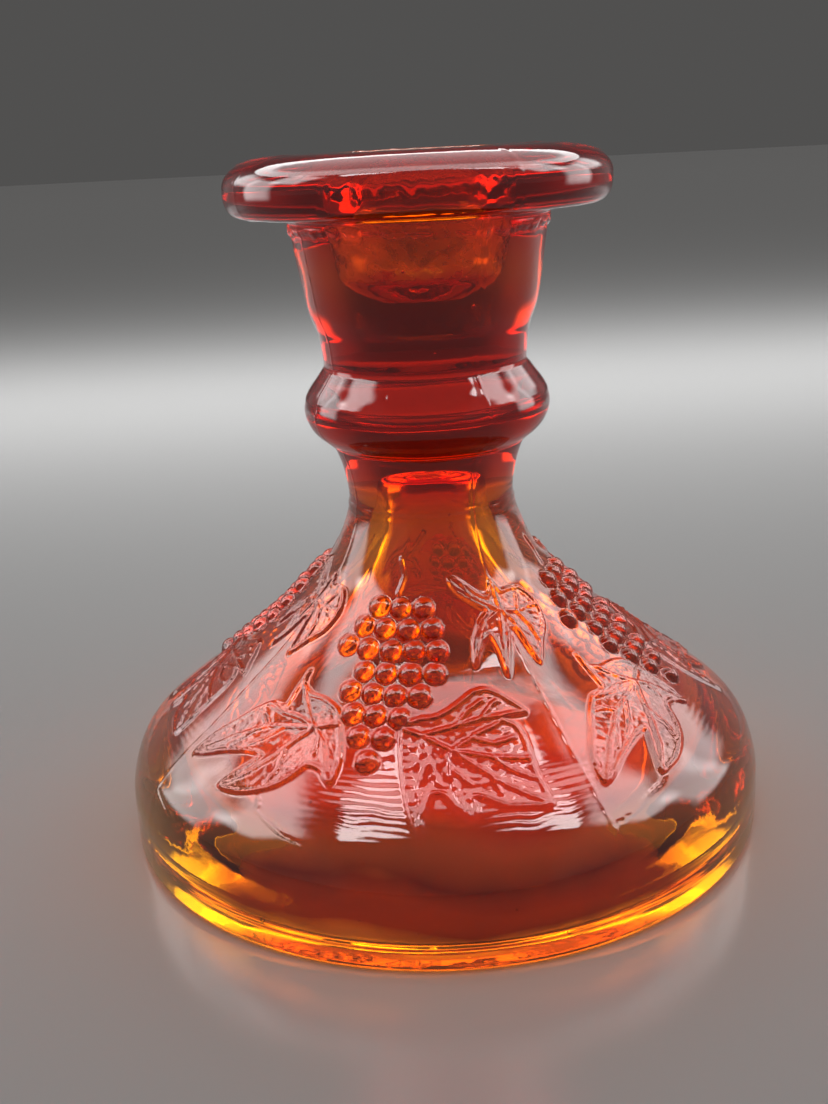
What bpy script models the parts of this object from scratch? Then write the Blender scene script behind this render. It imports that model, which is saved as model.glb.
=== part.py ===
"""Pressed-glass candlestick: one casting with a candle socket, broad lip, waisted cup, ring,
neck and a hollow bell-shaped base that carries four panels of grapes and vine leaves.

The origin is the centre of the foot's resting plane, and +Z points up. Angles in a panel are
degrees round the axis from the panel's middle, positive to the right seen from outside.
"""

import math

import bmesh
import bpy
from mathutils import Matrix, Vector

MM = 0.001

# Driving dimensions, in millimetres.
HEIGHT = 115.0
SEGMENTS = 48

SOCKET_MOUTH_RADIUS = 11.25
SOCKET_FLOOR_RADIUS = 8.75
SOCKET_SEAT_RADIUS = 4.0
SOCKET_DEPTH = 22.5
SOCKET_DISH_DEPTH = 3.5
SOCKET_EDGE_ROUND = 1.4

LIP_RADIUS = 31.4
LIP_THICKNESS = 9.4
LIP_CROWN_WIDTH = 10.0
LIP_CROWN_SQUARENESS = 0.85
LIP_UNDER_WIDTH = 3.8
LIP_UNDER_SHARE = 0.45
LIP_UNDER_SQUARENESS = 0.76

CUP_TOP_RADIUS = 21.0
CUP_BAND = 0.4
RING_RADIUS = 20.75
NECK_RADIUS = 14.2
BASE_RADIUS = 56.0
FOOT_OUTER_RADIUS = 54.6
FOOT_INNER_RADIUS = 44.8
FOOT_INNER_ROUND = 2.2
CAVITY_HEIGHT = 65.0
CAVITY_TOP_RADIUS = 6.0

PANELS = 4
PANEL_MIDDLE = -17.0

GRAPE_RADIUS = 1.9
GRAPE_SINK = 0.5
GRAPE_PITCH = 3.8
GRAPE_ROW_PITCH = 3.8
BUNCH_TOP = 44.3
# Each row of a bunch from the top: how many grapes, and how far the row is shifted sideways.
BUNCH_ROWS = ((3, 0.5), (4, 0.4), (5, 0.1), (4, 2.1), (4, 0.5), (3, 0.0), (2, 0.0), (1, 0.2))

LEAF_RISE = 0.5
LEAF_ROOT = 0.9
# Leaf outlines: (degrees from the panel's middle, height), starting with the centre of the veins.
LEFT_LEAF = (
    (-15.5, 28.8),
    (-26, 35), (-23, 32.8), (-15.5, 32.4), (-10.5, 31.5), (-7, 29), (-5.5, 26.5), (-6, 24),
    (-12.5, 25.4), (-18, 22.6), (-29.5, 20.8), (-24.5, 25), (-33, 24), (-42, 22), (-39.5, 26.2),
    (-31.5, 30.3), (-26, 30.6),
)
RIGHT_LEAF = (
    (19, 28.2),
    (7.5, 30.4), (16, 31.6), (26, 33.9), (32, 33.5), (38.5, 31), (31.5, 30.8), (35.5, 28.3),
    (35.2, 25), (36, 21.6), (28, 22), (22.5, 23.4), (21, 21.4), (16.5, 23.4), (14.5, 23.6),
    (12.5, 19.8), (9.5, 24), (7.5, 27.5),
)
SEAM_LEAF = (
    (44.5, 42.6),
    (23.5, 47.7), (31, 47.4), (38, 45.4), (45, 46.6), (52, 45.2), (58, 44.5), (61, 42.4),
    (55, 38.6), (49, 35.7), (46, 39.8), (42, 39), (37.5, 35.2), (36.5, 39.6), (28.5, 36.8),
    (31.5, 41.2), (37, 43.4), (29, 45.8),
)


def smooth_through(points, steps):
    """Points of a smooth curve (Catmull-Rom) through a list of (radius, height) pairs."""
    ends = [points[0]] + list(points) + [points[-1]]
    curve = []
    for i in range(1, len(ends) - 2):
        p0, p1, p2, p3 = (Vector(p) for p in ends[i - 1:i + 3])
        for k in range(steps):
            t = k / steps
            bend = (2 * p0 - 5 * p1 + 4 * p2 - p3) * t * t
            twist = (3 * p1 - p0 - 3 * p2 + p3) * t * t * t
            curve.append(0.5 * (2 * p1 + (p2 - p0) * t + bend + twist))
    curve.append(Vector(points[-1]))
    return [(p.x, p.y) for p in curve]


def arc(centre, width, height, start, end, steps, power=1.0):
    """Points of an elliptical arc, or of a squarer one where power is under 1."""
    points = []
    for k in range(steps + 1):
        a = math.radians(start + (end - start) * k / steps)
        c, s = math.cos(a), math.sin(a)
        x = math.copysign(abs(c) ** power, c)
        y = math.copysign(abs(s) ** power, s)
        points.append((centre[0] + width * x, centre[1] + height * y))
    return points


def socket_outline():
    """The candle socket, from its seat on the axis up to its mouth."""
    seat = HEIGHT - SOCKET_DEPTH
    edge = SOCKET_EDGE_ROUND
    wall = [
        (0.0, seat),
        (SOCKET_SEAT_RADIUS, seat),
        (SOCKET_FLOOR_RADIUS - 1.2, seat + SOCKET_DISH_DEPTH - 1.2),
        (SOCKET_FLOOR_RADIUS, seat + SOCKET_DISH_DEPTH + 0.6),
        (SOCKET_MOUTH_RADIUS - 0.6, HEIGHT - 7.0),
    ]
    mouth = arc((SOCKET_MOUTH_RADIUS + edge, HEIGHT - edge), edge, edge, 180, 90, 2)
    return wall + mouth


def lip_outline():
    """The broad lip: a long crown above its blunt edge and a tighter round below."""
    under = LIP_THICKNESS * LIP_UNDER_SHARE
    edge = HEIGHT - LIP_THICKNESS + under
    crown = arc((LIP_RADIUS - LIP_CROWN_WIDTH, edge), LIP_CROWN_WIDTH, HEIGHT - edge, 90, 0, 6,
                LIP_CROWN_SQUARENESS)
    round_under = arc((LIP_RADIUS - LIP_UNDER_WIDTH, edge), LIP_UNDER_WIDTH, under, 0, -90, 4,
                      LIP_UNDER_SQUARENESS)
    return crown + round_under[1:]


def cup_outline():
    """The cup below the lip: a narrow band, then a taper that draws in to a waist."""
    top = HEIGHT - LIP_THICKNESS
    r = CUP_TOP_RADIUS
    band = [(r + 1.4, top), (r + CUP_BAND, top - 0.9), (r + CUP_BAND, top - 2.2), (r, top - 2.7)]
    taper = smooth_through(
        [(r, top - 3.0), (r - 1.2, top - 10.8), (r - 2.0, top - 15.4), (r - 3.4, top - 19.2),
         (r - 3.9, top - 23.0)], 1)
    return band + taper


def ring_outline():
    """The ring under the cup: a conical shoulder above a round edge."""
    r = RING_RADIUS
    return smooth_through(
        [(r - 3.9, 80.8), (r - 2.4, 79.0), (r - 0.7, 76.6), (r, 74.2), (r - 0.3, 72.2),
         (r - 1.4, 70.2), (r - 3.3, 68.5), (r - 4.5, 67.9)], 1)


def bell_outline():
    """The neck and the bell, from under the ring down to the side of the foot."""
    n = NECK_RADIUS
    return smooth_through(
        [(n + 1.7, 67.2), (n + 0.8, 64.0), (n + 0.1, 60.0), (n + 0.2, 56.8), (n + 1.5, 52.6),
         (n + 4.2, 47.4), (22.4, 43.0), (28.3, 37.0), (35.5, 31.1), (42.6, 25.5), (48.8, 21.0),
         (53.6, 16.8), (BASE_RADIUS - 0.3, 11.5)], 1)


def foot_outline():
    """The foot's upright side, rounded lower edge and flat resting ring."""
    drop = BASE_RADIUS - FOOT_OUTER_RADIUS
    edge = arc((FOOT_OUTER_RADIUS, 1.8), drop, 1.8, 0, -90, 2)
    return [(BASE_RADIUS, 7.0)] + edge + [(FOOT_INNER_RADIUS, 0.0)]


def cavity_outline():
    """The hollow under the base, from the foot's rounded inner edge up to its domed top."""
    r = CAVITY_TOP_RADIUS
    turn = FOOT_INNER_ROUND
    edge = arc((FOOT_INNER_RADIUS, turn), turn, turn, -90, -180, 2)
    wall = smooth_through(
        [(42.4, 7.0), (41.5, 12.5), (38.5, 18.0), (32.0, 24.0), (24.4, 30.2), (17.0, 37.0),
         (11.2, 44.0), (7.8, 51.0), (r + 0.3, 57.0)], 1)
    dome = arc((0.0, CAVITY_HEIGHT - 4.0), r, 4.0, 0, 90, 3, 0.7)
    dome[-1] = (0.0, CAVITY_HEIGHT)
    return edge[1:] + wall + dome


def turned_mesh(outline):
    """One closed mesh of revolution from (radius, height) pairs whose ends are on the axis."""
    bm = bmesh.new()
    verts = [bm.verts.new((r * MM, 0.0, z * MM)) for r, z in outline]
    edges = [bm.edges.new(pair) for pair in zip(verts, verts[1:])]
    bmesh.ops.spin(
        bm, geom=verts + edges, axis=(0, 0, 1), cent=(0, 0, 0), angle=2 * math.pi,
        steps=SEGMENTS, use_merge=True)
    bmesh.ops.remove_doubles(bm, verts=bm.verts, dist=1e-6)
    bmesh.ops.recalc_face_normals(bm, faces=bm.faces)
    return bm


def bell_point(angle, height, offset, bell):
    """A point at an angle and height on the bell, moved outwards along the surface normal."""
    for (r0, z0), (r1, z1) in zip(bell, bell[1:]):
        if z1 <= height <= z0:
            t = (z0 - height) / (z0 - z1)
            radius = r0 + (r1 - r0) * t
            slope = math.hypot(r1 - r0, z0 - z1)
            out, up = (z0 - z1) / slope, (r1 - r0) / slope
            break
    a = math.radians(angle)
    r = radius + offset * out
    return Vector((r * math.sin(a), -r * math.cos(a), height + offset * up)) * MM, radius


def walk_down(height, distance, bell):
    """The height reached after walking a distance down the bell's slope."""
    step = 0.05
    while distance > 0:
        _, upper = bell_point(0, height, 0, bell)
        _, lower = bell_point(0, height - step, 0, bell)
        distance -= math.hypot(lower - upper, step)
        height -= step
    return height


def grapes_mesh(bell):
    """The domed grapes of every panel, each a small sphere sunk into the bell."""
    bm = bmesh.new()
    for panel in range(PANELS):
        middle = PANEL_MIDDLE + 360 / PANELS * panel
        height = BUNCH_TOP
        for count, shift in BUNCH_ROWS:
            _, radius = bell_point(0, height, 0, bell)
            for k in range(count):
                across = shift + GRAPE_PITCH * (k - (count - 1) / 2)
                angle = middle + math.degrees(across / radius)
                place, _ = bell_point(angle, height, -GRAPE_SINK, bell)
                outward, _ = bell_point(angle, height, 1, bell)
                turn = (outward - place).to_track_quat("Z", "Y").to_matrix().to_4x4()
                bmesh.ops.create_uvsphere(
                    bm, u_segments=6, v_segments=4, radius=GRAPE_RADIUS * MM,
                    matrix=Matrix.Translation(place) @ turn)
            height = walk_down(height, GRAPE_ROW_PITCH, bell)
    return bm


def add_leaf(bm, leaf, middle, bell):
    """A low leaf-shaped plate that follows the bell, with its root inside the glass."""
    centre, outline = leaf[0], leaf[1:]
    levels = []
    for offset in (LEAF_RISE, -LEAF_ROOT):
        hub, _ = bell_point(middle + centre[0], centre[1], offset, bell)
        rings = []
        for share in (0.5, 1.0):
            ring = []
            for angle, height in outline:
                a = middle + centre[0] + (angle - centre[0]) * share
                z = centre[1] + (height - centre[1]) * share
                place, _ = bell_point(a, z, offset, bell)
                ring.append(bm.verts.new(place))
            rings.append(ring)
        levels.append((bm.verts.new(hub), rings))
    count = len(outline)
    for k in range(count):
        j = (k + 1) % count
        for hub, (inner, outer) in levels:
            bm.faces.new((hub, inner[k], inner[j]))
            bm.faces.new((inner[k], outer[k], outer[j], inner[j]))
        top, root = levels[0][1][1], levels[1][1][1]
        bm.faces.new((top[k], root[k], root[j], top[j]))


def leaves_mesh(bell):
    """The vine leaves of every panel; the smallest one lies across each panel's edge."""
    bm = bmesh.new()
    for panel in range(PANELS):
        middle = PANEL_MIDDLE + 360 / PANELS * panel
        for leaf in (LEFT_LEAF, RIGHT_LEAF, SEAM_LEAF):
            add_leaf(bm, leaf, middle, bell)
    bmesh.ops.recalc_face_normals(bm, faces=bm.faces)
    return bm


def glass_material():
    """Clear pressed glass, deep red above and amber at the foot."""
    material = bpy.data.materials.new("amber_red_glass")
    material.use_nodes = True
    shader = material.node_tree.nodes["Principled BSDF"]
    shader.inputs["Base Color"].default_value = (0.62, 0.06, 0.02, 1.0)
    shader.inputs["Roughness"].default_value = 0.03
    shader.inputs["Metallic"].default_value = 0.0
    shader.inputs["IOR"].default_value = 1.52
    shader.inputs["Transmission Weight"].default_value = 0.9
    return material


def add_object(name, bm):
    """Puts a finished bmesh into the scene as a named object."""
    mesh = bpy.data.meshes.new(name)
    bm.to_mesh(mesh)
    bm.free()
    piece = bpy.data.objects.new(name, mesh)
    bpy.context.scene.collection.objects.link(piece)
    return piece


def unite(piece, raised):
    """Unites a set of raised shapes with the body and hides the separate shapes."""
    union = piece.modifiers.new("unite_" + raised.name, "BOOLEAN")
    union.operation = "UNION"
    union.solver = "EXACT"
    union.object = raised
    raised.hide_render = True
    raised.display_type = "WIRE"


def main():
    for old in list(bpy.data.objects):
        bpy.data.objects.remove(old)
    bell = bell_outline()
    outline = socket_outline() + lip_outline() + cup_outline() + ring_outline()
    outline += bell + foot_outline() + cavity_outline()
    body = add_object("candlestick_body", turned_mesh(outline))
    unite(body, add_object("grapes", grapes_mesh(bell)))
    unite(body, add_object("leaves", leaves_mesh(bell)))
    body.data.shade_smooth()
    body.data.set_sharp_from_angle(angle=math.radians(35))
    body.data.materials.append(glass_material())


main()
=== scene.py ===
"""Looks of the pressed-glass candlestick: one closed glass surface with its grapes, vine leaves,
mould seams, ripples and bubbles, in glass that runs from amber at the foot to deep red at the lip.

Lengths are millimetres until a mesh is written; angles are degrees round the axis, 0 at -Y and
positive to the right. Outline and pattern sizes repeat the part's own driving dimensions.
"""

import math

import bpy
import numpy as np
from mathutils import Matrix, Vector


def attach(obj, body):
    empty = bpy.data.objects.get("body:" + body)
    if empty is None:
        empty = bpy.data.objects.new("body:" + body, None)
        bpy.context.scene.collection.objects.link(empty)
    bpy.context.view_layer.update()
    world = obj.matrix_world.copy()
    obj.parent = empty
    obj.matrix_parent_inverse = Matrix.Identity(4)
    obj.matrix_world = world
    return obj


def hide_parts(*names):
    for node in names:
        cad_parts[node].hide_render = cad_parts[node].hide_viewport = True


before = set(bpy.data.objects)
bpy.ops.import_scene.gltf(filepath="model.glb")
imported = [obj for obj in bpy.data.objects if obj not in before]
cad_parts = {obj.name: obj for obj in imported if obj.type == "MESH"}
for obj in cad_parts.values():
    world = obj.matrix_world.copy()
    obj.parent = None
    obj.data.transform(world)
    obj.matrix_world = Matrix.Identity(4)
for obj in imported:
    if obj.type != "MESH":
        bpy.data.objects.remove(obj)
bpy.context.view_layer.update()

MM = 0.001
SEED = 7

# The body's driving dimensions.
HEIGHT = 115.0
SOCKET_MOUTH_RADIUS = 11.25
SOCKET_FLOOR_RADIUS = 8.75
SOCKET_SEAT_RADIUS = 4.0
SOCKET_DEPTH = 22.5
SOCKET_DISH_DEPTH = 3.5
SOCKET_EDGE_ROUND = 1.4
LIP_RADIUS = 31.4
LIP_THICKNESS = 9.4
LIP_CROWN_WIDTH = 10.0
LIP_CROWN_SQUARENESS = 0.85
LIP_UNDER_WIDTH = 3.8
LIP_UNDER_SHARE = 0.45
LIP_UNDER_SQUARENESS = 0.76
CUP_TOP_RADIUS = 21.0
CUP_BAND = 0.45
CUP_BAND_HEIGHT = 2.6
RING_RADIUS = 20.75
NECK_RADIUS = 14.2
BASE_RADIUS = 56.0
FOOT_OUTER_RADIUS = 54.6
FOOT_INNER_RADIUS = 44.8
FOOT_INNER_ROUND = 2.2
CAVITY_HEIGHT = 65.0
CAVITY_TOP_RADIUS = 6.0

# The surface mesh: columns round the axis and the spacing of its rows.
COLUMNS = 768
ROW_STEP_RELIEF = 0.30
ROW_STEP_PLAIN = 0.55

# The pattern.
PANELS = 4
PANEL_MIDDLE = -17.0
GRAPE_RADIUS = 1.9
GRAPE_SINK = 0.5
GRAPE_PITCH = 3.85
GRAPE_ROW_PITCH = 3.8
BUNCH_TOP = 44.3
# Each row of a bunch from the top: how many grapes, and how far the row is shifted sideways.
BUNCH_ROWS = ((3, 0.5), (4, 0.4), (5, 0.1), (4, 2.1), (4, 0.5), (3, 0.0), (2, 0.0), (1, 0.2))

# Leaf outlines and veins: (degrees from the panel's middle, height).
LEFT_LEAF = (
    (-26, 35), (-25, 33.4), (-21, 32.6), (-15.5, 32.4), (-10.5, 31.5), (-7.5, 29), (-5.5, 26.5),
    (-6, 24), (-9, 25.2), (-12.5, 25.4), (-15, 23.8), (-18, 22.5), (-23.5, 21.2), (-29.5, 20.8),
    (-27.5, 22.8), (-24.5, 25), (-29, 24.9), (-35, 23.8), (-42, 22), (-41.5, 24.5),
    (-38.5, 26.8), (-35, 29), (-31.5, 30.3), (-28, 30.4), (-26.2, 30.8), (-26.3, 32.8),
)
LEFT_VEINS = (
    ((-14.7, 29.3), (-18, 30.4), (-22, 32.2), (-26, 34.8)),
    ((-14.7, 29.3), (-20, 29.9), (-25.5, 29.9), (-30.8, 30.2)),
    ((-14.7, 29.3), (-22, 28.6), (-28, 28), (-35, 25.6), (-41.5, 22.3)),
    ((-14.7, 29.3), (-18, 27.6), (-21, 25.4), (-25, 23), (-29, 21.1)),
    ((-14.7, 29.3), (-11, 28), (-9, 26.2), (-6.3, 24.2)),
    ((-14.7, 29.3), (-10, 30), (-5, 30.3)),
    ((-28, 28), (-31, 28.8), (-33.5, 28.9)),
    ((-30.5, 27.3), (-34.5, 24.6)),
    ((-23, 28.5), (-27.5, 26.3), (-30, 25.3)),
    ((-19.5, 26.6), (-18.5, 24.2), (-19.5, 22.6)),
    ((-12.5, 28.6), (-12, 26.6)),
)
RIGHT_LEAF = (
    (7.5, 30.4), (11, 31.3), (16, 31.6), (21, 32.7), (26, 33.9), (30, 34.0), (34, 33.0),
    (38.5, 31), (34.5, 31), (31.5, 30.7), (34.5, 29.8), (35.6, 28.3), (35.4, 25), (36, 21.6),
    (32, 21.7), (28, 22), (24.5, 23), (22.3, 23.2), (22.4, 21.9), (21.4, 21.2), (19, 22.3),
    (16.8, 23.6), (14.3, 23.6), (13.2, 21.8), (12.5, 19.8), (11, 21.6), (9.5, 24), (8, 27.5),
)
RIGHT_VEINS = (
    ((7.5, 30.2), (12, 29.6), (19, 27.9)),
    ((12, 29.6), (20, 30.4), (27, 31), (36.5, 31)),
    ((19, 27.9), (25, 29.4), (32.5, 30.5)),
    ((19, 27.9), (28, 26.8), (35, 26.2)),
    ((19, 27.9), (25, 25.6), (29, 23.9), (35, 21.9)),
    ((19, 27.9), (18.3, 25.6), (19.6, 23), (20.9, 21.7)),
    ((12, 29.6), (13.8, 27), (12, 24.5), (12.4, 20.4)),
    ((13.8, 27), (16, 24.4)),
    ((27, 31), (30, 32.3), (32, 32.6)),
    ((20, 30.4), (24, 32.1), (28, 32.9)),
    ((24, 29), (28.5, 28.2), (33.5, 28.6)),
    ((27, 27), (31, 25.2), (34.6, 24.2)),
    ((26.5, 25), (27.5, 23.2)),
    ((18.5, 26), (22, 24.4)),
)
SEAM_LEAF = (
    (23.5, 47.7), (27, 48), (32, 46.9), (38, 45.2), (42, 45.2), (45, 47), (48, 45.4), (52, 45.4),
    (58, 45.2), (61.5, 44), (62.5, 42.2), (60, 39.8), (55, 38), (50, 35.7), (48.5, 38),
    (47.5, 40.2), (44.5, 40.6), (41.5, 38), (37.8, 35.2), (38, 38), (36.5, 40.2), (33, 39.4),
    (28.5, 36.8), (30, 39.8), (34, 42), (38.5, 43.3), (33, 44.6), (27, 46),
)
SEAM_VEINS = (
    ((44, 43), (38, 44.3), (31, 45.8), (24.5, 47.4)),
    ((44, 43), (36, 41.8), (29.5, 37.6)),
    ((44, 43), (41, 40), (38, 35.8)),
    ((44, 43), (47.5, 41.5), (50, 36.4)),
    ((44, 43), (51, 42.4), (57, 42.6), (61.5, 42.4)),
    ((44, 43), (45, 46.2)),
    ((51, 42.4), (54, 40), (54, 38.4)),
    ((52, 42.5), (55, 44.3)),
    ((33, 45.2), (30, 46.9)),
)
BUNCH_STEM = ((-1, 46.2), (1, 48.6), (-2, 51))

# How far each part of the pattern stands up, and how wide its ridges are.
LEAF_PLATEAU = 0.22
LEAF_EDGE_WIDTH = 0.25
RIM_HEIGHT = 0.34
RIM_WIDTH = 0.30
VEIN_HEIGHT = 0.30
VEIN_WIDTH = 0.24
STIPPLE_HEIGHT = 0.05
SEAM_ANGLE = 180.0 / PANELS
SEAM_HEIGHT = 0.09
SEAM_WIDTH = 0.20
STEM_HEIGHT = 0.4
STEM_WIDTH = 0.4

# Chill ripples on the shoulder: (middle, half width) in degrees round the axis.
RIPPLE_PATCHES = ((-16.0, 11.0), (16.0, 15.0), (74.0, 12.0), (106.0, 13.0), (164.0, 12.0),
                  (-164.0, 12.0), (-106.0, 12.0), (-74.0, 9.0))
RIPPLE_MIDDLE = 22.3
RIPPLE_HALF_HEIGHT = 3.0
RIPPLE_PITCH = 1.15
RIPPLE_HEIGHT = 0.016

# Cold folds left by the gather: (degrees round the axis, height).
FOLDS = (
    ((-36.5, 21.5), (-35.5, 20.5), (-35.5, 20), (-33, 19.5), (-28.5, 18.5), (-24.5, 18)),
    ((45.5, 21), (42, 20), (37.5, 19.5), (33, 18.5), (28.5, 18)),
    ((-61, 16.5), (-56.5, 15.5), (-52.5, 15), (-49, 15)),
    ((112, 19), (121, 17.5), (133, 18)),
)
FOLD_DEPTH = 0.16
FOLD_WIDTH = 0.14

# Fine raised lines left round the neck and the ring by the mould: (height, rise, width).
NECK_LINE = (57.4, 0.16, 0.35)
RING_LINE = (76.0, 0.10, 0.25)

# Unevenness of each surface.
SOCKET_TEXTURE = 0.09
CAVITY_WAVES = 0.05
OUTER_WAVES = 0.03

# Bubbles in the glass: (degrees round the axis, distance from the axis, height, radius).
BUBBLES = (
    (-9, 16.5, 97.6, 0.26), (8, 17.0, 100.2, 0.16), (-2, 16.4, 102.6, 0.30), (-12, 17.4, 103.2, 0.14),
    (14, 17.0, 101.0, 0.18), (22, 17.4, 96.2, 0.14), (27, 16.2, 91.6, 0.36), (-16, 16.0, 94.5, 0.14),
    (-22, 17.3, 98.6, 0.16), (6, 13.5, 84.5, 0.18), (3, 16.0, 104.6, 0.12), (-26, 46.2, 21.2, 0.32),
    (-31, 54.4, 5.0, 0.45), (10, 54.8, 9.5, 0.16), (-5, 54.5, 6.5, 0.12), (18, 54.7, 4.2, 0.14),
    (-14, 54.6, 8.2, 0.14), (150, 16.5, 99.0, 0.20), (205, 17.0, 95.0, 0.24), (120, 54.4, 6.0, 0.30),
)
BUBBLE_COLUMNS = 12
BUBBLE_RINGS = 7

# Surface tint of the glass: (share of the height, colour).
GLASS_COLOURS = (
    (0.00, (1.00, 0.84, 0.34)),
    (0.08, (1.00, 0.70, 0.20)),
    (0.13, (0.97, 0.44, 0.11)),
    (0.19, (0.88, 0.10, 0.05)),
    (0.29, (0.90, 0.15, 0.05)),
    (0.37, (0.90, 0.15, 0.05)),
    (0.44, (0.95, 0.36, 0.08)),
    (0.49, (0.92, 0.24, 0.05)),
    (0.55, (0.86, 0.035, 0.025)),
    (0.70, (0.80, 0.020, 0.024)),
    (0.77, (0.58, 0.014, 0.018)),
    (0.84, (0.78, 0.12, 0.04)),
    (0.92, (0.72, 0.016, 0.026)),
)
# Painted glow: a lighter amber on the socket wall, standing in for the light that shines into the socket.
SOCKET_GLOW_TINT = (1.0, 0.78, 0.30, 1.0)
# Painted shade: the dark red-brown laid over the glass low on the front and the back of the bell.
PAINTED_SHADE_COLOUR = (0.18, 0.028, 0.012, 1.0)

# Half the floor's side and the aim of most lights, in metres.
FLOOR_HALF = 6.0
HEART = (0.0, 0.0, 0.08)


def smooth_through(points, steps):
    """Points of a smooth curve (Catmull-Rom) through a list of (radius, height) pairs."""
    ends = [points[0]] + list(points) + [points[-1]]
    curve = []
    for i in range(1, len(ends) - 2):
        p0, p1, p2, p3 = (Vector(p) for p in ends[i - 1:i + 3])
        for k in range(steps):
            t = k / steps
            bend = (2 * p0 - 5 * p1 + 4 * p2 - p3) * t * t
            twist = (3 * p1 - p0 - 3 * p2 + p3) * t * t * t
            curve.append(0.5 * (2 * p1 + (p2 - p0) * t + bend + twist))
    curve.append(Vector(points[-1]))
    return [(p.x, p.y) for p in curve]


def arc(centre, width, height, start, end, steps, power=1.0):
    """Points of an elliptical arc, or of a squarer one where power is under 1."""
    points = []
    for k in range(steps + 1):
        a = math.radians(start + (end - start) * k / steps)
        c, s = math.cos(a), math.sin(a)
        x = math.copysign(abs(c) ** power, c)
        y = math.copysign(abs(s) ** power, s)
        points.append((centre[0] + width * x, centre[1] + height * y))
    return points


def socket_outline():
    """The candle socket, from its seat on the axis up to its mouth."""
    seat = HEIGHT - SOCKET_DEPTH
    edge = SOCKET_EDGE_ROUND
    floor = [(0.0, seat), (SOCKET_SEAT_RADIUS, seat)]
    floor += smooth_through(
        [(SOCKET_SEAT_RADIUS + 0.4, seat + 0.1),
         (SOCKET_FLOOR_RADIUS - 1.2, seat + SOCKET_DISH_DEPTH - 1.2),
         (SOCKET_FLOOR_RADIUS, seat + SOCKET_DISH_DEPTH + 0.6),
         (SOCKET_FLOOR_RADIUS + 0.5, seat + SOCKET_DISH_DEPTH + 3.5)], 6)
    wall = [(SOCKET_MOUTH_RADIUS - 0.6, HEIGHT - 7.0)]
    mouth = arc((SOCKET_MOUTH_RADIUS + edge, HEIGHT - edge), edge, edge, 180, 90, 8)
    return floor + wall + mouth


def lip_outline():
    """The broad lip: a long crown above its blunt edge and a tighter round below."""
    under = LIP_THICKNESS * LIP_UNDER_SHARE
    edge = HEIGHT - LIP_THICKNESS + under
    crown = arc((LIP_RADIUS - LIP_CROWN_WIDTH, edge), LIP_CROWN_WIDTH, HEIGHT - edge, 90, 0, 40,
                LIP_CROWN_SQUARENESS)
    round_under = arc((LIP_RADIUS - LIP_UNDER_WIDTH, edge), LIP_UNDER_WIDTH, under, 0, -90, 24,
                      LIP_UNDER_SQUARENESS)
    return crown + round_under[1:]


def cup_outline():
    """The cup below the lip: a short upright, then a taper that draws in to a waist."""
    top = HEIGHT - LIP_THICKNESS
    r = CUP_TOP_RADIUS
    corner = arc((r + 1.2, top - 1.2), 1.2, 1.2, 90, 180, 6)
    taper = smooth_through(
        [(r, top - 1.3), (r - 0.1, top - 3.0), (r - 1.2, top - 10.8), (r - 2.0, top - 15.4),
         (r - 3.4, top - 19.2), (r - 3.9, top - 23.0), (r - 4.0, top - 24.2)], 8)
    return corner + taper


def ring_outline():
    """The ring under the cup: a conical shoulder above a round edge."""
    r = RING_RADIUS
    return smooth_through(
        [(r - 3.7, 80.8), (r - 2.4, 79.0), (r - 0.7, 76.6), (r, 74.2), (r - 0.3, 72.2),
         (r - 1.4, 70.2), (r - 3.3, 68.5), (r - 4.4, 67.9)], 8)


def bell_outline():
    """The neck and the bell, from under the ring down to the side of the foot."""
    n = NECK_RADIUS
    return smooth_through(
        [(n + 1.9, 67.3), (n + 0.8, 64.0), (n + 0.1, 60.0), (n + 0.2, 56.8), (n + 1.5, 52.6),
         (n + 4.2, 47.4), (22.4, 43.0), (28.3, 37.0), (35.5, 31.1), (42.6, 25.5), (48.8, 21.0),
         (53.6, 16.8), (BASE_RADIUS - 0.3, 11.5), (BASE_RADIUS, 7.0), (BASE_RADIUS, 3.0)], 10)


def foot_outline():
    """The foot's rounded lower edge and flat resting ring."""
    drop = BASE_RADIUS - FOOT_OUTER_RADIUS
    edge = arc((FOOT_OUTER_RADIUS, 1.8), drop, 1.8, 0, -90, 10)
    return edge + [(FOOT_INNER_RADIUS + 0.6, 0.0)]


def cavity_outline():
    """The hollow under the base, from the foot's rounded inner edge up to its domed top."""
    r = CAVITY_TOP_RADIUS
    turn = FOOT_INNER_ROUND
    edge = arc((FOOT_INNER_RADIUS, turn), turn, turn, -90, -180, 8)
    wall = smooth_through(
        [(FOOT_INNER_RADIUS - turn, turn + 0.3), (42.4, 7.0), (41.5, 12.5), (38.5, 18.0),
         (32.0, 24.0), (24.4, 30.2), (17.0, 37.0), (11.2, 44.0), (7.8, 51.0), (r + 0.3, 57.0),
         (r, CAVITY_HEIGHT - 4.0)], 6)
    dome = arc((0.0, CAVITY_HEIGHT - 4.0), r, 4.0, 0, 90, 16, 0.7)
    return edge + wall[:-1] + dome[:-1] + [(0.0, CAVITY_HEIGHT)]


def evenly(points, step):
    """The same line with its points spread evenly, about a step apart."""
    p = np.array(points)
    length = np.concatenate([[0], np.cumsum(np.hypot(*np.diff(p, axis=0).T))])
    count = max(2, int(round(length[-1] / step)) + 1)
    at = np.linspace(0, length[-1], count)
    return np.stack([np.interp(at, length, p[:, 0]), np.interp(at, length, p[:, 1])], 1)


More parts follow.
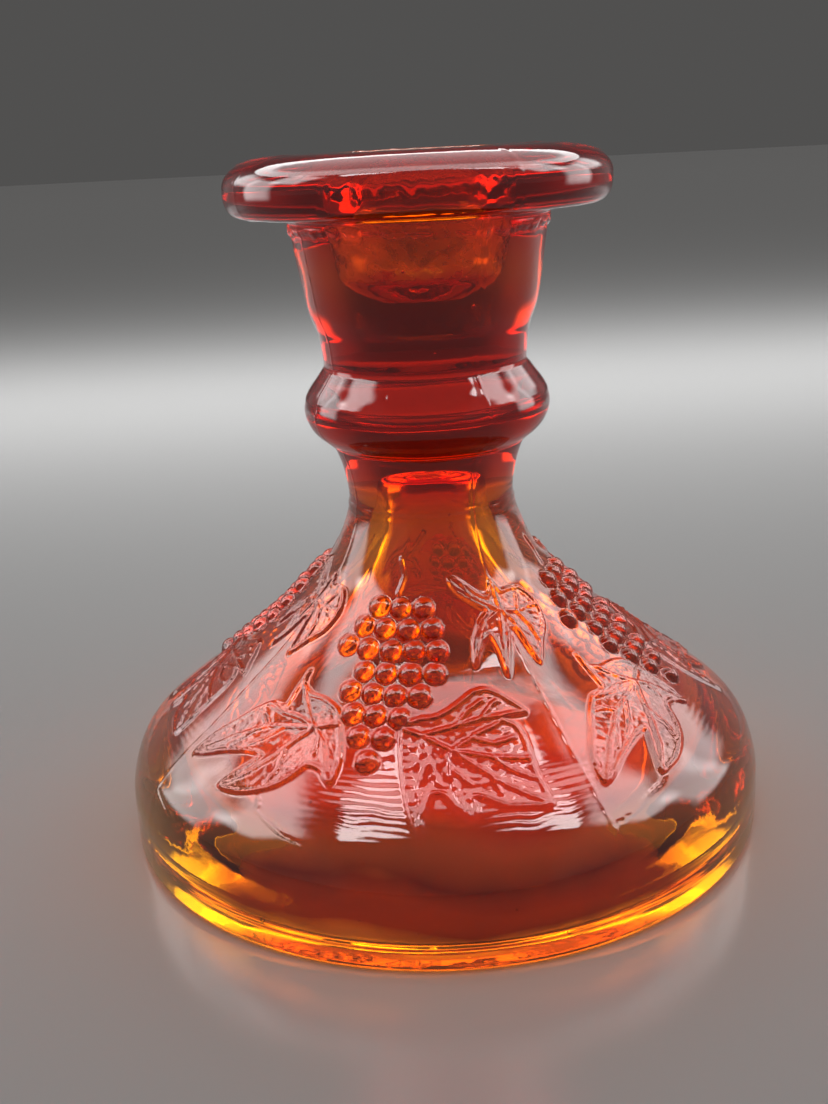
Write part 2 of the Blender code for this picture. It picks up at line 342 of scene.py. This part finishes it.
def body_rows():
    """Every row of the surface mesh: radius, height, columns and the zone it belongs to."""
    bell = bell_outline()
    zones = [
        ("socket", socket_outline(), ROW_STEP_PLAIN, COLUMNS // 4),
        ("top", [(SOCKET_MOUTH_RADIUS + 2.4, HEIGHT), (LIP_RADIUS - LIP_CROWN_WIDTH - 0.6, HEIGHT)],
         1.6, COLUMNS // 2),
        ("lip", lip_outline(), 0.4, COLUMNS // 2),
        ("cup", cup_outline(), 0.45, COLUMNS // 2),
        ("ring", ring_outline(), 0.4, COLUMNS // 2),
        ("bell", [p for p in bell if p[1] > 53], 0.5, COLUMNS // 2),
        ("bell", [p for p in bell if 15 < p[1] <= 53], ROW_STEP_RELIEF, COLUMNS),
        ("bell", [p for p in bell if p[1] <= 15], 0.6, COLUMNS // 2),
        ("foot", foot_outline(), 0.5, COLUMNS // 2),
        ("cavity", cavity_outline(), 1.0, COLUMNS // 4),
    ]
    rows = []
    for zone, points, step, columns in zones:
        for r, z in evenly(points, step):
            if rows and math.hypot(r - rows[-1][0], z - rows[-1][1]) < 0.12:
                continue
            rows.append((r, z, columns if r > 1e-6 else 1, zone))
    return rows


def periodic_waves(angle, along, waves, seed):
    """Slow random waves on the surface, whole in number round the axis."""
    rng = np.random.default_rng(seed)
    total = np.zeros(np.broadcast(angle, along).shape)
    for _ in range(waves):
        turns = rng.integers(1, 9)
        pitch = rng.uniform(9, 40)
        phase = rng.uniform(0, 2 * math.pi)
        total += np.sin(turns * angle + 2 * math.pi * along / pitch + phase) / waves ** 0.5
    return total


def value_noise(x, y, size, seed):
    """Smooth random bumps of a given size over a plane of x and y."""
    rng = np.random.default_rng(seed)
    grid = rng.uniform(-1, 1, (97, 97))
    u, v = x / size, y / size
    i, j = np.floor(u).astype(int), np.floor(v).astype(int)
    fu, fv = u - i, v - j
    fu, fv = fu * fu * (3 - 2 * fu), fv * fv * (3 - 2 * fv)
    a, b = grid[i % 97, j % 97], grid[(i + 1) % 97, j % 97]
    c, d = grid[i % 97, (j + 1) % 97], grid[(i + 1) % 97, (j + 1) % 97]
    return (a * (1 - fu) + b * fu) * (1 - fv) + (c * (1 - fu) + d * fu) * fv


def rounded_loop(points, steps=4, pull=0.35):
    """A closed leaf outline with gently curved sides between its points."""
    p = np.array(points, float)
    n = len(p)
    curve = []
    for i in range(n):
        p0, p1, p2, p3 = p[i - 1], p[i], p[(i + 1) % n], p[(i + 2) % n]
        m1, m2 = (p2 - p0) * pull, (p3 - p1) * pull
        for k in range(steps):
            t = k / steps
            curve.append((2 * t**3 - 3 * t**2 + 1) * p1 + (t**3 - 2 * t**2 + t) * m1
                         + (3 * t**2 - 2 * t**3) * p2 + (t**3 - t**2) * m2)
    curve.append(curve[0])
    return np.array(curve)


def distance_to_line(x, y, line_x, line_y):
    """Distance from points x at one height y to a polyline."""
    best = np.full(x.shape, 1e9)
    for x0, y0, x1, y1 in zip(line_x, line_y, line_x[1:], line_y[1:]):
        dx, dy = x1 - x0, y1 - y0
        t = np.clip(((x - x0) * dx + (y - y0) * dy) / max(dx * dx + dy * dy, 1e-9), 0, 1)
        best = np.minimum(best, np.hypot(x - x0 - t * dx, y - y0 - t * dy))
    return best


def inside_loop(x, y, line_x, line_y):
    """Whether points x at one height y lie inside a closed polyline."""
    inside = np.zeros(x.shape, bool)
    for x0, y0, x1, y1 in zip(line_x, line_y, line_x[1:], line_y[1:]):
        if (y0 > y) != (y1 > y):
            inside ^= x < x0 + (x1 - x0) * (y - y0) / (y1 - y0)
    return inside


class Panel:
    """One quarter of the bell's pattern, given by degrees from the panel's middle."""

    def __init__(self, heights, radii, walked):
        order = np.argsort(heights)
        self.heights, self.radii, self.walked = heights[order], radii[order], walked[order]
        self.leaves = [
            (rounded_loop(LEFT_LEAF), LEFT_VEINS, 0.0),
            (rounded_loop(RIGHT_LEAF), RIGHT_VEINS, 0.0),
            (rounded_loop(SEAM_LEAF), SEAM_VEINS, 0.0),
            (rounded_loop(SEAM_LEAF), SEAM_VEINS, -360.0 / PANELS),
        ]
        self.grapes = self.bunch()

    def along(self, height):
        """Distance walked down the bell to a height."""
        return np.interp(height, self.heights, self.walked)

    def bunch(self):
        """Every grape: (degrees, distance down the bell, radius)."""
        rng = np.random.default_rng(SEED)
        grapes = []
        down = self.along(BUNCH_TOP)
        for count, shift in BUNCH_ROWS:
            height = np.interp(down, self.walked[::-1], self.heights[::-1])
            radius = np.interp(height, self.heights, self.radii)
            for k in range(count):
                across = shift + GRAPE_PITCH * (k - (count - 1) / 2) + rng.uniform(-0.15, 0.15)
                size = GRAPE_RADIUS * rng.uniform(0.95, 1.03)
                grapes.append((math.degrees(across / radius), down + rng.uniform(-0.15, 0.15), size))
            down += GRAPE_ROW_PITCH
        return grapes

    def relief(self, degrees, radius, down):
        """How far one row of the surface stands up at each angle."""
        scale = math.radians(radius)
        x = degrees * scale
        up = np.zeros(x.shape)
        for outline, veins, turn in self.leaves:
            ox, oy = (outline[:, 0] + turn) * scale, self.along(outline[:, 1])
            if not oy.min() - 1.5 < down < oy.max() + 1.5:
                continue
            edge = distance_to_line(x, down, ox, oy)
            signed = np.where(inside_loop(x, down, ox, oy), edge, -edge)
            vein = np.full(x.shape, 1e9)
            for line in veins:
                vx = [(a + turn) * scale for a, _ in line]
                vein = np.minimum(vein, distance_to_line(x, down, vx, self.along([h for _, h in line])))
            within = 1 / (1 + np.exp(-signed / LEAF_EDGE_WIDTH * 3))
            stipple = value_noise(x + 40, np.full(x.shape, down), 0.55, SEED + 3)
            field = LEAF_PLATEAU + STIPPLE_HEIGHT * stipple
            field = field + VEIN_HEIGHT * np.exp(-((vein / VEIN_WIDTH) ** 2))
            up = np.maximum(up, within * field + RIM_HEIGHT * np.exp(-((edge / RIM_WIDTH) ** 2)))
        for angle, place, size in self.grapes:
            if abs(place - down) < size:
                flat = (x - angle * scale) ** 2 + (down - place) ** 2
                dome = np.sqrt(np.maximum(size * size - flat, 0)) - GRAPE_SINK
                up = np.maximum(up, dome)
        stem = distance_to_line(
            x, down, [a * scale for a, _ in BUNCH_STEM], self.along([h for _, h in BUNCH_STEM]))
        return np.maximum(up, STEM_HEIGHT * np.exp(-((stem / STEM_WIDTH) ** 2)))


def collar(angle, z):
    """The narrow band under the lip, whose lower edge is uneven where the mould parts met."""
    count = len(angle)
    edge = value_noise(angle * 9, np.zeros(count), 1.0, SEED + 11)
    edge += 0.5 * value_noise(angle * 31, np.zeros(count), 1.0, SEED + 12)
    edge *= np.minimum(1.0, np.minimum(angle, 2 * math.pi - angle) / 0.2)
    lower = HEIGHT - LIP_THICKNESS - CUP_BAND_HEIGHT + 0.55 * edge
    return CUP_BAND / (1 + np.exp(-(z - lower) / 0.09))


def raised_line(z, line):
    """How far a fine line round the body stands up at one height."""
    height, rise, width = line
    return rise * math.exp(-(((z - height) / width) ** 2))


def shoulder_marks(angle, radius, z, down, panel):
    """Chill ripples across the shoulder and the cold folds below the leaves."""
    turn = (np.degrees(angle) + 180.0) % 360.0 - 180.0
    off = np.zeros(len(angle))
    for middle, half_width in RIPPLE_PATCHES:
        inside = np.clip(1.25 - np.abs(turn - middle) / half_width, 0.0, 1.0)
        inside *= np.clip(1.3 - abs(z - RIPPLE_MIDDLE) / RIPPLE_HALF_HEIGHT, 0.0, 1.0)
        wander = 0.35 * value_noise(
            turn * math.radians(radius) + 50, np.full(len(angle), down), 3.0, SEED + 21)
        wave = np.sin(2 * math.pi * (down / RIPPLE_PITCH + wander))
        off += RIPPLE_HEIGHT * inside * wave
    scale = math.radians(radius)
    for fold in FOLDS:
        line_x = [a * scale for a, _ in fold]
        line_y = panel.along([h for _, h in fold])
        near = distance_to_line(turn * scale, down, line_x, line_y)
        off -= FOLD_DEPTH * np.exp(-((near / FOLD_WIDTH) ** 2))
    return off


def surface_heights(rows, walked):
    """For each row, how far its points stand off the plain turned outline."""
    heights, radii, along = [], [], []
    for (r, z, _, zone), w in zip(rows, walked):
        if zone == "bell":
            heights.append(z)
            radii.append(r)
            along.append(w)
    panel = Panel(np.array(heights), np.array(radii), np.array(along))
    offsets = []
    quarter = 360.0 / PANELS
    for (r, z, columns, zone), w in zip(rows, walked):
        if columns == 1:
            offsets.append(np.zeros(1))
            continue
        angle = np.arange(columns) * (2 * math.pi / columns)
        degrees = (np.degrees(angle) - PANEL_MIDDLE + SEAM_ANGLE) % quarter - SEAM_ANGLE
        off = np.zeros(columns)
        if zone == "socket":
            texture = value_noise(r * angle + 60, np.full(columns, z), 1.1, SEED + 5)
            off += SOCKET_TEXTURE * texture * min(1.0, max(0.0, (r - SOCKET_SEAT_RADIUS) / 2))
        elif zone == "cavity":
            off += CAVITY_WAVES * periodic_waves(angle, w, 7, SEED + 8)
        elif zone not in ("top", "foot"):
            off += OUTER_WAVES * periodic_waves(angle, w, 9, SEED + 1)
            seam = (SEAM_ANGLE - np.abs(degrees)) * math.radians(r)
            broken = 0.75 + 0.25 * math.sin(w * 1.9)
            off += SEAM_HEIGHT * broken * np.exp(-((seam / SEAM_WIDTH) ** 2))
            if zone == "bell":
                off += raised_line(z, NECK_LINE)
                if 17 < z < 52:
                    off += panel.relief(degrees, r, w)
                if z < 30:
                    off += shoulder_marks(angle, r, z, w, panel)
            if zone == "cup":
                off += collar(angle, z)
            if zone == "ring":
                off += raised_line(z, RING_LINE)
        offsets.append(off)
    return offsets


def turned_surface(rows, offsets):
    """Vertices and faces of the closed surface, its rows stitched where their columns change."""
    r = np.array([row[0] for row in rows])
    z = np.array([row[1] for row in rows])
    out, up = -np.gradient(z), np.gradient(r)
    size = np.hypot(out, up)
    out, up = out / size, up / size
    points, starts = [], []
    total = 0
    for i, off in enumerate(offsets):
        angle = np.arange(len(off)) * (2 * math.pi / len(off))
        radius = r[i] + off * out[i] if len(off) > 1 else np.zeros(1)
        height = z[i] + off * up[i]
        points.append(np.stack([radius * np.sin(angle), -radius * np.cos(angle), height], 1))
        starts.append(total)
        total += len(off)
    faces = []
    for i in range(len(rows) - 1):
        a, b = len(offsets[i]), len(offsets[i + 1])
        s, t = starts[i], starts[i + 1]
        if a == b:
            faces += [(s + k, t + k, t + (k + 1) % b, s + (k + 1) % a) for k in range(a)]
        elif a == 1:
            faces += [(s, t + k, t + (k + 1) % b) for k in range(b)]
        elif b == 1:
            faces += [(s + k, t, s + (k + 1) % a) for k in range(a)]
        elif b > a:
            for k in range(a):
                p, q = s + k, s + (k + 1) % a
                m = t + 2 * k
                e = t + (2 * k + 2) % b
                faces += [(p, m, m + 1), (p, m + 1, q), (q, m + 1, e)]
        else:
            for k in range(b):
                p, q = t + k, t + (k + 1) % b
                m = s + 2 * k
                e = s + (2 * k + 2) % a
                faces += [(m, p, m + 1), (m + 1, p, q), (m + 1, q, e)]
    return np.concatenate(points), faces


def with_bubbles(points, faces):
    """The surface with small round bubbles shut in the glass, their faces turned inwards."""
    columns, rings = BUBBLE_COLUMNS, BUBBLE_RINGS
    around = np.arange(columns) * (2 * math.pi / columns)
    groups, start = [points], len(points)
    for degrees, radius, height, size in BUBBLES:
        turn = math.radians(degrees)
        middle = np.array([radius * math.sin(turn), -radius * math.cos(turn), height])
        ball = [(0.0, 0.0, size)]
        for j in range(1, rings):
            down = math.pi * j / rings
            ball += [(size * math.sin(down) * math.cos(a), size * math.sin(down) * math.sin(a),
                      size * math.cos(down)) for a in around]
        ball.append((0.0, 0.0, -size))
        groups.append(middle + np.array(ball))
        last = start + len(ball) - 1
        for i in range(columns):
            k = (i + 1) % columns
            faces.append((start, start + 1 + k, start + 1 + i))
            for j in range(rings - 2):
                row = start + 1 + j * columns
                faces.append((row + i, row + k, row + columns + k, row + columns + i))
            row = last - columns
            faces.append((row + i, row + k, last))
        start = last + 1
    return np.concatenate(groups), faces


def add_mesh(name, points, faces):
    """A smooth mesh object from points in millimetres."""
    mesh = bpy.data.meshes.new(name)
    mesh.from_pydata((np.asarray(points) * MM).tolist(), [], faces)
    mesh.shade_smooth()
    piece = bpy.data.objects.new(name, mesh)
    bpy.context.scene.collection.objects.link(piece)
    return piece


def glass_body():
    """The candlestick's whole glass surface."""
    rows = body_rows()
    line = np.array([(row[0], row[1]) for row in rows])
    walked = np.concatenate([[0], np.cumsum(np.hypot(*np.diff(line, axis=0).T))])
    points, faces = turned_surface(rows, surface_heights(rows, walked))
    return add_mesh("candlestick_glass", *with_bubbles(points, faces))


class Nodes:
    """A short way to build a node tree."""

    def __init__(self, tree):
        self.tree = tree

    def add(self, kind, **inputs):
        """A node with its inputs set or linked by name."""
        node = self.tree.nodes.new(kind)
        for name, value in inputs.items():
            socket = node.inputs[name.replace("_", " ")]
            if isinstance(value, bpy.types.NodeSocket):
                self.tree.links.new(value, socket)
            else:
                socket.default_value = value
        return node

    def math(self, operation, *values):
        """A Math node's output."""
        node = self.tree.nodes.new("ShaderNodeMath")
        node.operation = operation
        for socket, value in zip(node.inputs, values):
            if isinstance(value, bpy.types.NodeSocket):
                self.tree.links.new(value, socket)
            else:
                socket.default_value = value
        return node.outputs[0]

    def mix(self, share, first, second):
        """A colour that runs from a first colour to a second one."""
        node = self.tree.nodes.new("ShaderNodeMix")
        node.data_type = "RGBA"
        self.tree.links.new(share, node.inputs["Factor"])
        self.tree.links.new(first, node.inputs[6])
        node.inputs[7].default_value = second
        return node.outputs[2]

    def ramp(self, value, low, high, start, end):
        """A value run from low..high to start..end, and held at the ends."""
        node = self.add("ShaderNodeMapRange", Value=value, From_Min=low, From_Max=high,
                        To_Min=start, To_Max=end)
        return node.outputs[0]


def glass_material():
    """Heat-struck glass: amber at the foot, through orange, to deep red at the lip."""
    material = bpy.data.materials.new("amber_red_glass")
    material.use_nodes = True
    tree = material.node_tree
    make = Nodes(tree)
    shader = tree.nodes["Principled BSDF"]
    place = make.add("ShaderNodeTexCoord").outputs["Object"]
    axes = make.add("ShaderNodeSeparateXYZ", Vector=place)
    height = axes.outputs["Z"]

    # The tint by height, its edges drifting a little.
    cloud = make.add("ShaderNodeTexNoise", Vector=place, Scale=28.0, Detail=3.0)
    drift = make.math("MULTIPLY_ADD", cloud.outputs["Fac"], 0.014, height)
    share = make.ramp(drift, 0.007, HEIGHT * MM + 0.007, 0.0, 1.0)
    ramp = make.add("ShaderNodeValToRGB", Fac=share)
    stops = ramp.color_ramp.elements
    while len(stops) < len(GLASS_COLOURS):
        stops.new(0.5)
    for stop, (at, colour) in zip(stops, GLASS_COLOURS):
        stop.position = at
        stop.color = (*colour, 1.0)

    # Painted glow: a lighter amber on the socket wall. Painted shade: a dark red-brown low on the front
    # and the back, where the shadowed floor in the hollow shows through.
    radius = make.math("SQRT", make.math(
        "MULTIPLY_ADD", axes.outputs["X"], axes.outputs["X"],
        make.math("MULTIPLY", axes.outputs["Y"], axes.outputs["Y"])))
    near_axis = make.ramp(radius, 0.0122, 0.0134, 1.0, 0.0)
    seat = (HEIGHT - SOCKET_DEPTH) * MM
    in_socket = make.math("MULTIPLY", near_axis, make.ramp(height, seat + 0.003, seat + 0.0038, 0.0, 1.0))
    in_wall = make.math("MULTIPLY", in_socket, make.ramp(height, 0.1045, 0.1065, 1.0, 0.0))
    painted_shade_facing = make.ramp(make.math("ABSOLUTE", make.math("DIVIDE", axes.outputs["Y"], radius)),
                       0.52, 0.80, 0.0, 1.0)
    low = make.math("MULTIPLY", make.ramp(drift, 0.011, 0.014, 0.0, 1.0),
                    make.ramp(drift, 0.021, 0.026, 1.0, 0.0))
    colour = make.mix(make.math("MULTIPLY", painted_shade_facing, low), ramp.outputs["Color"], PAINTED_SHADE_COLOUR)
    colour = make.mix(in_socket, colour, SOCKET_GLOW_TINT)
    tree.links.new(colour, shader.inputs["Base Color"])
    shader.inputs["Metallic"].default_value = 0.0
    shader.inputs["IOR"].default_value = 1.52
    shader.inputs["Transmission Weight"].default_value = 0.94

    # Fire polish, with a chilled and slightly frosted socket wall.
    smear = make.add("ShaderNodeTexNoise", Vector=place, Scale=60.0, Detail=4.0)
    polish = make.ramp(smear.outputs["Fac"], 0.3, 0.8, 0.0, 0.07)
    grain = make.add("ShaderNodeTexNoise", Vector=place, Scale=520.0, Detail=3.0)
    chill = make.ramp(grain.outputs["Fac"], 0.35, 0.7, 0.12, 0.5)
    rough = make.math("MULTIPLY_ADD", in_wall, make.math("SUBTRACT", chill, polish), polish)
    tree.links.new(rough, shader.inputs["Roughness"])

    ripple = make.add("ShaderNodeTexNoise", Vector=place, Scale=220.0, Detail=2.0)
    bump = make.add("ShaderNodeBump", Height=ripple.outputs["Fac"], Strength=0.08, Distance=0.0004)
    tree.links.new(bump.outputs["Normal"], shader.inputs["Normal"])

    # The colour that a long way through the glass adds.
    absorb = make.add("ShaderNodeVolumeAbsorption")
    absorb.inputs["Color"].default_value = (0.973, 0.913, 0.0, 1.0)
    absorb.inputs["Density"].default_value = 300.0
    output = tree.nodes["Material Output"]
    tree.links.new(absorb.outputs["Volume"], output.inputs["Volume"])
    return material


def add_camera():
    """The camera: a little above the lip, tilted down and slightly rolled."""
    distance, height = 0.2181, 0.1165
    pan, tilt, roll = math.radians(-0.92), math.radians(17.61), math.radians(-2.92)
    forward = Vector((math.sin(pan) * math.cos(tilt), math.cos(pan) * math.cos(tilt), -math.sin(tilt)))
    level = Vector((math.cos(pan), -math.sin(pan), 0.0))
    upright = level.cross(forward)
    right = level * math.cos(roll) + upright * math.sin(roll)
    up = upright * math.cos(roll) - level * math.sin(roll)
    data = bpy.data.cameras.new("camera")
    data.sensor_width = 36.0
    data.lens = 42.4
    data.clip_start = 0.01
    camera = bpy.data.objects.new("camera", data)
    camera.matrix_world = Matrix.Translation((0.0, -distance, height)) @ Matrix(
        (right, up, -forward)).transposed().to_4x4()
    bpy.context.scene.collection.objects.link(camera)
    bpy.context.scene.camera = camera


def add_light(name, shape, place, target, size, lit):
    """An area light of unit strength, aimed at a point, that lights one set of pieces."""
    data = bpy.data.lights.new(name, "AREA")
    data.shape = shape
    data.size, data.size_y = size
    data.energy = math.pi * size[0] * size[1]
    light = bpy.data.objects.new(name, data)
    light.location = place
    light.rotation_euler = (Vector(target) - Vector(place)).to_track_quat("-Z", "Y").to_euler()
    light.light_linking.receiver_collection = lit
    light.visible_camera = False
    bpy.context.scene.collection.objects.link(light)
    data.use_nodes = True
    return light


def fade_out(make, distance, limit, fade):
    """A share that falls smoothly from one to nothing as a distance nears its limit."""
    edge = make.add("ShaderNodeMapRange", Value=distance, From_Min=limit, From_Max=limit - fade)
    edge.interpolation_type = "SMOOTHSTEP"
    return edge.outputs[0]


def add_softbox(name, place, target, size, strength, fade, lit):
    """A rectangular light whose edges fade."""
    light = add_light(name, "RECTANGLE", place, target, size, lit)
    tree = light.data.node_tree
    make = Nodes(tree)
    spot = make.add("ShaderNodeNewGeometry").outputs["Position"]
    glow = strength
    for axis, width in zip(((1, 0, 0), (0, 1, 0)), size):
        direction = light.rotation_euler.to_quaternion() @ Vector(axis)
        across = make.add("ShaderNodeVectorMath")
        across.operation = "DOT_PRODUCT"
        tree.links.new(spot, across.inputs[0])
        across.inputs[1].default_value = direction
        off = make.math("SUBTRACT", across.outputs["Value"], direction.dot(Vector(place)))
        glow = make.math("MULTIPLY", fade_out(make, make.math("ABSOLUTE", off), width / 2, fade), glow)
    tree.links.new(glow, tree.nodes["Emission"].inputs["Strength"])
    return light


def add_round_softbox(name, place, diameter, strength, fade, lit):
    """A round light overhead, brightest in a broad ring, whose edge fades."""
    under = Vector(place) - Vector((0.0, 0.0, 1.0))
    light = add_light(name, "DISK", place, under, (diameter, diameter), lit)
    light.data.energy *= math.pi / 4
    tree = light.data.node_tree
    make = Nodes(tree)
    away = make.add("ShaderNodeVectorMath")
    away.operation = "DISTANCE"
    tree.links.new(make.add("ShaderNodeNewGeometry").outputs["Position"], away.inputs[0])
    away.inputs[1].default_value = place
    middle = make.ramp(away.outputs["Value"], 0.30 * diameter, 0.36 * diameter, 0.3 * strength, strength)
    glow = make.math("MULTIPLY", fade_out(make, away.outputs["Value"], diameter / 2, fade), middle)
    tree.links.new(glow, tree.nodes["Emission"].inputs["Strength"])


def gathered(name, piece):
    """A collection that names the pieces a light falls on."""
    group = bpy.data.collections.new(name)
    group.objects.link(piece)
    return group


def add_world():
    """A dim studio round the stage, lighter towards its two sides."""
    world = bpy.data.worlds.new("studio")
    bpy.context.scene.world = world
    bpy.context.scene.view_settings.view_transform = "Standard"
    world.use_nodes = True
    make = Nodes(world.node_tree)
    way = make.add("ShaderNodeSeparateXYZ", Vector=make.add("ShaderNodeTexCoord").outputs["Generated"])
    side = make.add("ShaderNodeMapRange", Value=make.math("ABSOLUTE", way.outputs["X"]),
                    From_Min=0.33, From_Max=0.62, To_Min=0.082, To_Max=0.34)
    side.interpolation_type = "SMOOTHSTEP"
    behind_camera = make.ramp(way.outputs["Y"], -0.30, -0.05, 0.26, 0.0)
    strength = make.math("MAXIMUM", side.outputs[0], behind_camera)
    sky = world.node_tree.nodes["Background"]
    sky.inputs["Color"].default_value = (1.0, 0.98, 0.96, 1.0)
    world.node_tree.links.new(strength, sky.inputs["Strength"])


def add_stage(glass):
    """A plain pale floor, and soft studio lights kept separate for the floor and the glass."""
    half = FLOOR_HALF / MM
    corners = [(-half, -half, 0), (half, -half, 0), (half, half, 0), (-half, half, 0)]
    floor = add_mesh("floor", corners, [(0, 1, 2, 3)])
    floor.location.z = -0.0001
    paint = bpy.data.materials.new("pale_floor")
    paint.use_nodes = True
    shader = paint.node_tree.nodes["Principled BSDF"]
    shader.inputs["Base Color"].default_value = (0.60, 0.60, 0.60, 1.0)
    shader.inputs["Roughness"].default_value = 0.22
    shader.inputs["IOR"].default_value = 1.8
    floor.data.materials.append(paint)
    add_world()

    on_glass = gathered("lit_glass", glass)
    add_round_softbox("overhead", (0.01, 0.315, 0.50), 0.92, 4.2, 0.02, on_glass)
    add_softbox("fore_left", (-0.15, -0.13, 0.50), (-0.15, -0.13, 0.0), (0.20, 0.07), 12.0, 0.015,
                on_glass)
    add_softbox("fore_right", (0.18, -0.11, 0.50), (0.18, -0.11, 0.0), (0.26, 0.07), 12.0, 0.015,
                on_glass)
    for name, side in (("left", -1), ("right", 1)):
        add_softbox(name + "_wing", (0.48 * side, -0.02, 0.48), HEART, (0.30, 0.36), 6.0, 0.08, on_glass)
        add_softbox(name + "_back", (0.62 * side, 0.45, 0.42), HEART, (0.45, 0.40), 3.5, 0.12, on_glass)
        add_softbox(name + "_side", (0.45 * side, 0.11, 0.22), (0.0, 0.11, 0.18), (0.26, 0.36), 4.0,
                    0.06, on_glass)

    on_floor = gathered("lit_floor", floor)
    add_softbox("floor_near", (0.0, -0.05, 0.90), (0.0, -0.05, 0.0), (0.9, 0.9), 0.70, 0.2, on_floor)
    far = add_softbox("floor_far", (0.0, 0.42, 0.22), (0.0, 0.42, 0.0), (1.2, 0.14), 6.0, 0.04, on_floor)
    far.visible_glossy = False

    # The warm light that comes through the glass onto the floor.
    glow = add_light("glow_under_glass", "DISK", (0.0, 0.0, 0.05), (0.0, 0.0, 0.0), (0.09, 0.09),
                     on_floor)
    glow.light_linking.blocker_collection = on_floor
    glow.visible_transmission = False
    glow.visible_glossy = False
    glow.data.color = (1.0, 0.34, 0.08)
    glow.data.energy *= 0.5


def main():
    glass = glass_body()
    glass.data.materials.append(glass_material())
    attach(glass, "root")
    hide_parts("candlestick_body")
    add_stage(glass)
    add_camera()


main()
